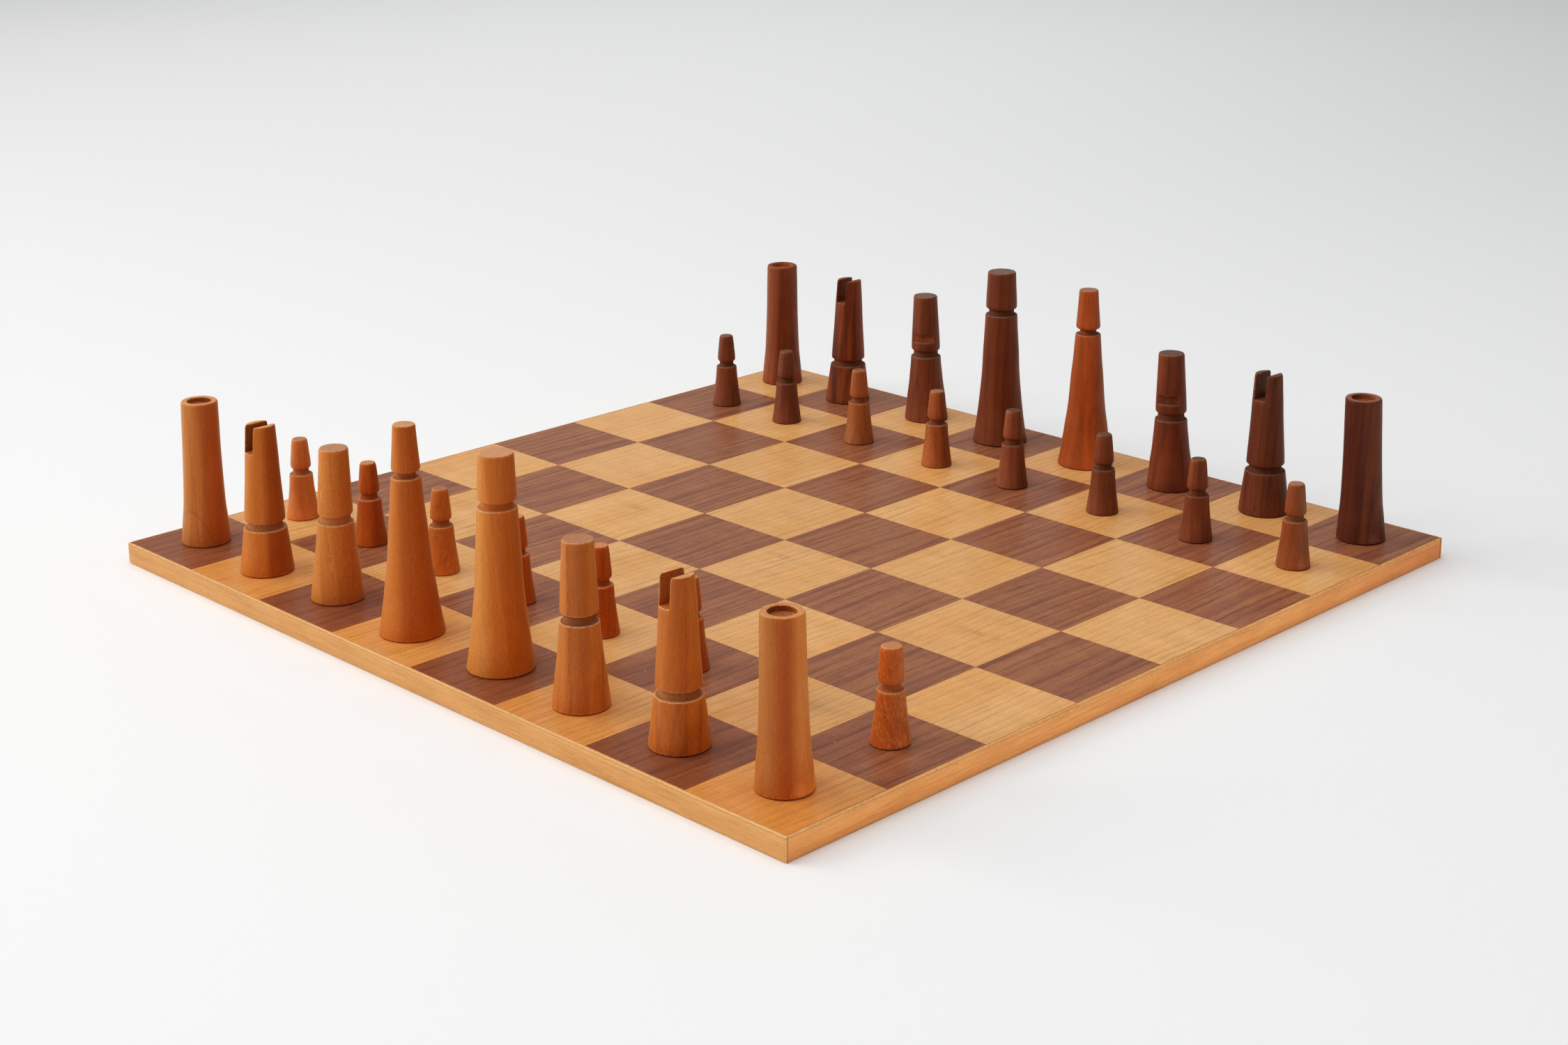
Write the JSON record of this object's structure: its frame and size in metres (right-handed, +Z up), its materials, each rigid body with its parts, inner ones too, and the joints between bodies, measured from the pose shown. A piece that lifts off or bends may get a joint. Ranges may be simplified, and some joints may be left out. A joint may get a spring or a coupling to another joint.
{
  "type": "chess set",
  "caption": "Chess set of turned wooden men standing in the opening position on a thin veneered chequered board; every man lifts off its square.",
  "frame": {"origin": "middle of the board's underside, on the surface the board lies on", "axes": "+Z up; +X along the light side's back row from its left hand to its right hand; +Y from the light side towards the dark side"},
  "size_m": [0.397, 0.397, 0.0928],
  "materials": {
    "light_veneer": "satin honey-coloured veneer, fine straight grain along +Y",
    "dark_veneer": "satin purple-brown veneer with tan streaks along +Y",
    "edge_band": "satin solid-wood edge band, grain along the edge",
    "backing_veneer": "plain backing veneer",
    "core_wood": "raw panel",
    "light_piece_wood": "thin satin oil finish over orange-brown turned wood, worn pale at the arrises",
    "dark_piece_wood": "thin satin finish over dark red-brown turned wood"
  },
  "bodies": {
    "board": {"core_panel": "core_wood", "backing_veneer": "backing_veneer", "light_squares": "light_veneer", "dark_squares": "dark_veneer", "edge_band_light_side": "edge_band", "edge_band_dark_side": "edge_band", "edge_band_left": "edge_band", "edge_band_right": "edge_band"},
    "light_rook_a": {"light_rook_a": "light_piece_wood"},
    "light_knight_b": {"light_knight_b": "light_piece_wood"},
    "light_bishop_c": {"light_bishop_c": "light_piece_wood"},
    "light_queen": {"light_queen": "light_piece_wood"},
    "light_king": {"light_king": "light_piece_wood"},
    "light_bishop_f": {"light_bishop_f": "light_piece_wood"},
    "light_knight_g": {"light_knight_g": "light_piece_wood"},
    "light_rook_h": {"light_rook_h": "light_piece_wood"},
    "light_pawn_a": {"light_pawn_a": "light_piece_wood"},
    "light_pawn_b": {"light_pawn_b": "light_piece_wood"},
    "light_pawn_c": {"light_pawn_c": "light_piece_wood"},
    "light_pawn_d": {"light_pawn_d": "light_piece_wood"},
    "light_pawn_e": {"light_pawn_e": "light_piece_wood"},
    "light_pawn_f": {"light_pawn_f": "light_piece_wood"},
    "light_pawn_g": {"light_pawn_g": "light_piece_wood"},
    "light_pawn_h": {"light_pawn_h": "light_piece_wood"},
    "dark_rook_a": {"dark_rook_a": "dark_piece_wood"},
    "dark_knight_b": {"dark_knight_b": "dark_piece_wood"},
    "dark_bishop_c": {"dark_bishop_c": "dark_piece_wood"},
    "dark_king": {"dark_king": "dark_piece_wood"},
    "dark_queen": {"dark_queen": "dark_piece_wood"},
    "dark_bishop_f": {"dark_bishop_f": "dark_piece_wood"},
    "dark_knight_g": {"dark_knight_g": "dark_piece_wood"},
    "dark_rook_h": {"dark_rook_h": "dark_piece_wood"},
    "dark_pawn_a": {"dark_pawn_a": "dark_piece_wood"},
    "dark_pawn_b": {"dark_pawn_b": "dark_piece_wood"},
    "dark_pawn_c": {"dark_pawn_c": "dark_piece_wood"},
    "dark_pawn_d": {"dark_pawn_d": "dark_piece_wood"},
    "dark_pawn_e": {"dark_pawn_e": "dark_piece_wood"},
    "dark_pawn_f": {"dark_pawn_f": "dark_piece_wood"},
    "dark_pawn_g": {"dark_pawn_g": "dark_piece_wood"},
    "dark_pawn_h": {"dark_pawn_h": "dark_piece_wood"}
  },
  "joints": [
    {"name": "light_rook_a_lift", "type": "slide", "parent": "board", "child": "light_rook_a", "axis": [0, 0, 1], "range_m": [0, 0.1]},
    {"name": "light_knight_b_lift", "type": "slide", "parent": "board", "child": "light_knight_b", "axis": [0, 0, 1], "range_m": [0, 0.1]},
    {"name": "light_bishop_c_lift", "type": "slide", "parent": "board", "child": "light_bishop_c", "axis": [0, 0, 1], "range_m": [0, 0.1]},
    {"name": "light_queen_lift", "type": "slide", "parent": "board", "child": "light_queen", "axis": [0, 0, 1], "range_m": [0, 0.1]},
    {"name": "light_king_lift", "type": "slide", "parent": "board", "child": "light_king", "axis": [0, 0, 1], "range_m": [0, 0.1]},
    {"name": "light_bishop_f_lift", "type": "slide", "parent": "board", "child": "light_bishop_f", "axis": [0, 0, 1], "range_m": [0, 0.1]},
    {"name": "light_knight_g_lift", "type": "slide", "parent": "board", "child": "light_knight_g", "axis": [0, 0, 1], "range_m": [0, 0.1]},
    {"name": "light_rook_h_lift", "type": "slide", "parent": "board", "child": "light_rook_h", "axis": [0, 0, 1], "range_m": [0, 0.1]},
    {"name": "light_pawn_a_lift", "type": "slide", "parent": "board", "child": "light_pawn_a", "axis": [0, 0, 1], "range_m": [0, 0.1]},
    {"name": "light_pawn_b_lift", "type": "slide", "parent": "board", "child": "light_pawn_b", "axis": [0, 0, 1], "range_m": [0, 0.1]},
    {"name": "light_pawn_c_lift", "type": "slide", "parent": "board", "child": "light_pawn_c", "axis": [0, 0, 1], "range_m": [0, 0.1]},
    {"name": "light_pawn_d_lift", "type": "slide", "parent": "board", "child": "light_pawn_d", "axis": [0, 0, 1], "range_m": [0, 0.1]},
    {"name": "light_pawn_e_lift", "type": "slide", "parent": "board", "child": "light_pawn_e", "axis": [0, 0, 1], "range_m": [0, 0.1]},
    {"name": "light_pawn_f_lift", "type": "slide", "parent": "board", "child": "light_pawn_f", "axis": [0, 0, 1], "range_m": [0, 0.1]},
    {"name": "light_pawn_g_lift", "type": "slide", "parent": "board", "child": "light_pawn_g", "axis": [0, 0, 1], "range_m": [0, 0.1]},
    {"name": "light_pawn_h_lift", "type": "slide", "parent": "board", "child": "light_pawn_h", "axis": [0, 0, 1], "range_m": [0, 0.1]},
    {"name": "dark_rook_a_lift", "type": "slide", "parent": "board", "child": "dark_rook_a", "axis": [0, 0, 1], "range_m": [0, 0.1]},
    {"name": "dark_knight_b_lift", "type": "slide", "parent": "board", "child": "dark_knight_b", "axis": [0, 0, 1], "range_m": [0, 0.1]},
    {"name": "dark_bishop_c_lift", "type": "slide", "parent": "board", "child": "dark_bishop_c", "axis": [0, 0, 1], "range_m": [0, 0.1]},
    {"name": "dark_king_lift", "type": "slide", "parent": "board", "child": "dark_king", "axis": [0, 0, 1], "range_m": [0, 0.1]},
    {"name": "dark_queen_lift", "type": "slide", "parent": "board", "child": "dark_queen", "axis": [0, 0, 1], "range_m": [0, 0.1]},
    {"name": "dark_bishop_f_lift", "type": "slide", "parent": "board", "child": "dark_bishop_f", "axis": [0, 0, 1], "range_m": [0, 0.1]},
    {"name": "dark_knight_g_lift", "type": "slide", "parent": "board", "child": "dark_knight_g", "axis": [0, 0, 1], "range_m": [0, 0.1]},
    {"name": "dark_rook_h_lift", "type": "slide", "parent": "board", "child": "dark_rook_h", "axis": [0, 0, 1], "range_m": [0, 0.1]},
    {"name": "dark_pawn_a_lift", "type": "slide", "parent": "board", "child": "dark_pawn_a", "axis": [0, 0, 1], "range_m": [0, 0.1]},
    {"name": "dark_pawn_b_lift", "type": "slide", "parent": "board", "child": "dark_pawn_b", "axis": [0, 0, 1], "range_m": [0, 0.1]},
    {"name": "dark_pawn_c_lift", "type": "slide", "parent": "board", "child": "dark_pawn_c", "axis": [0, 0, 1], "range_m": [0, 0.1]},
    {"name": "dark_pawn_d_lift", "type": "slide", "parent": "board", "child": "dark_pawn_d", "axis": [0, 0, 1], "range_m": [0, 0.1]},
    {"name": "dark_pawn_e_lift", "type": "slide", "parent": "board", "child": "dark_pawn_e", "axis": [0, 0, 1], "range_m": [0, 0.1]},
    {"name": "dark_pawn_f_lift", "type": "slide", "parent": "board", "child": "dark_pawn_f", "axis": [0, 0, 1], "range_m": [0, 0.1]},
    {"name": "dark_pawn_g_lift", "type": "slide", "parent": "board", "child": "dark_pawn_g", "axis": [0, 0, 1], "range_m": [0, 0.1]},
    {"name": "dark_pawn_h_lift", "type": "slide", "parent": "board", "child": "dark_pawn_h", "axis": [0, 0, 1], "range_m": [0, 0.1]}
  ]
}
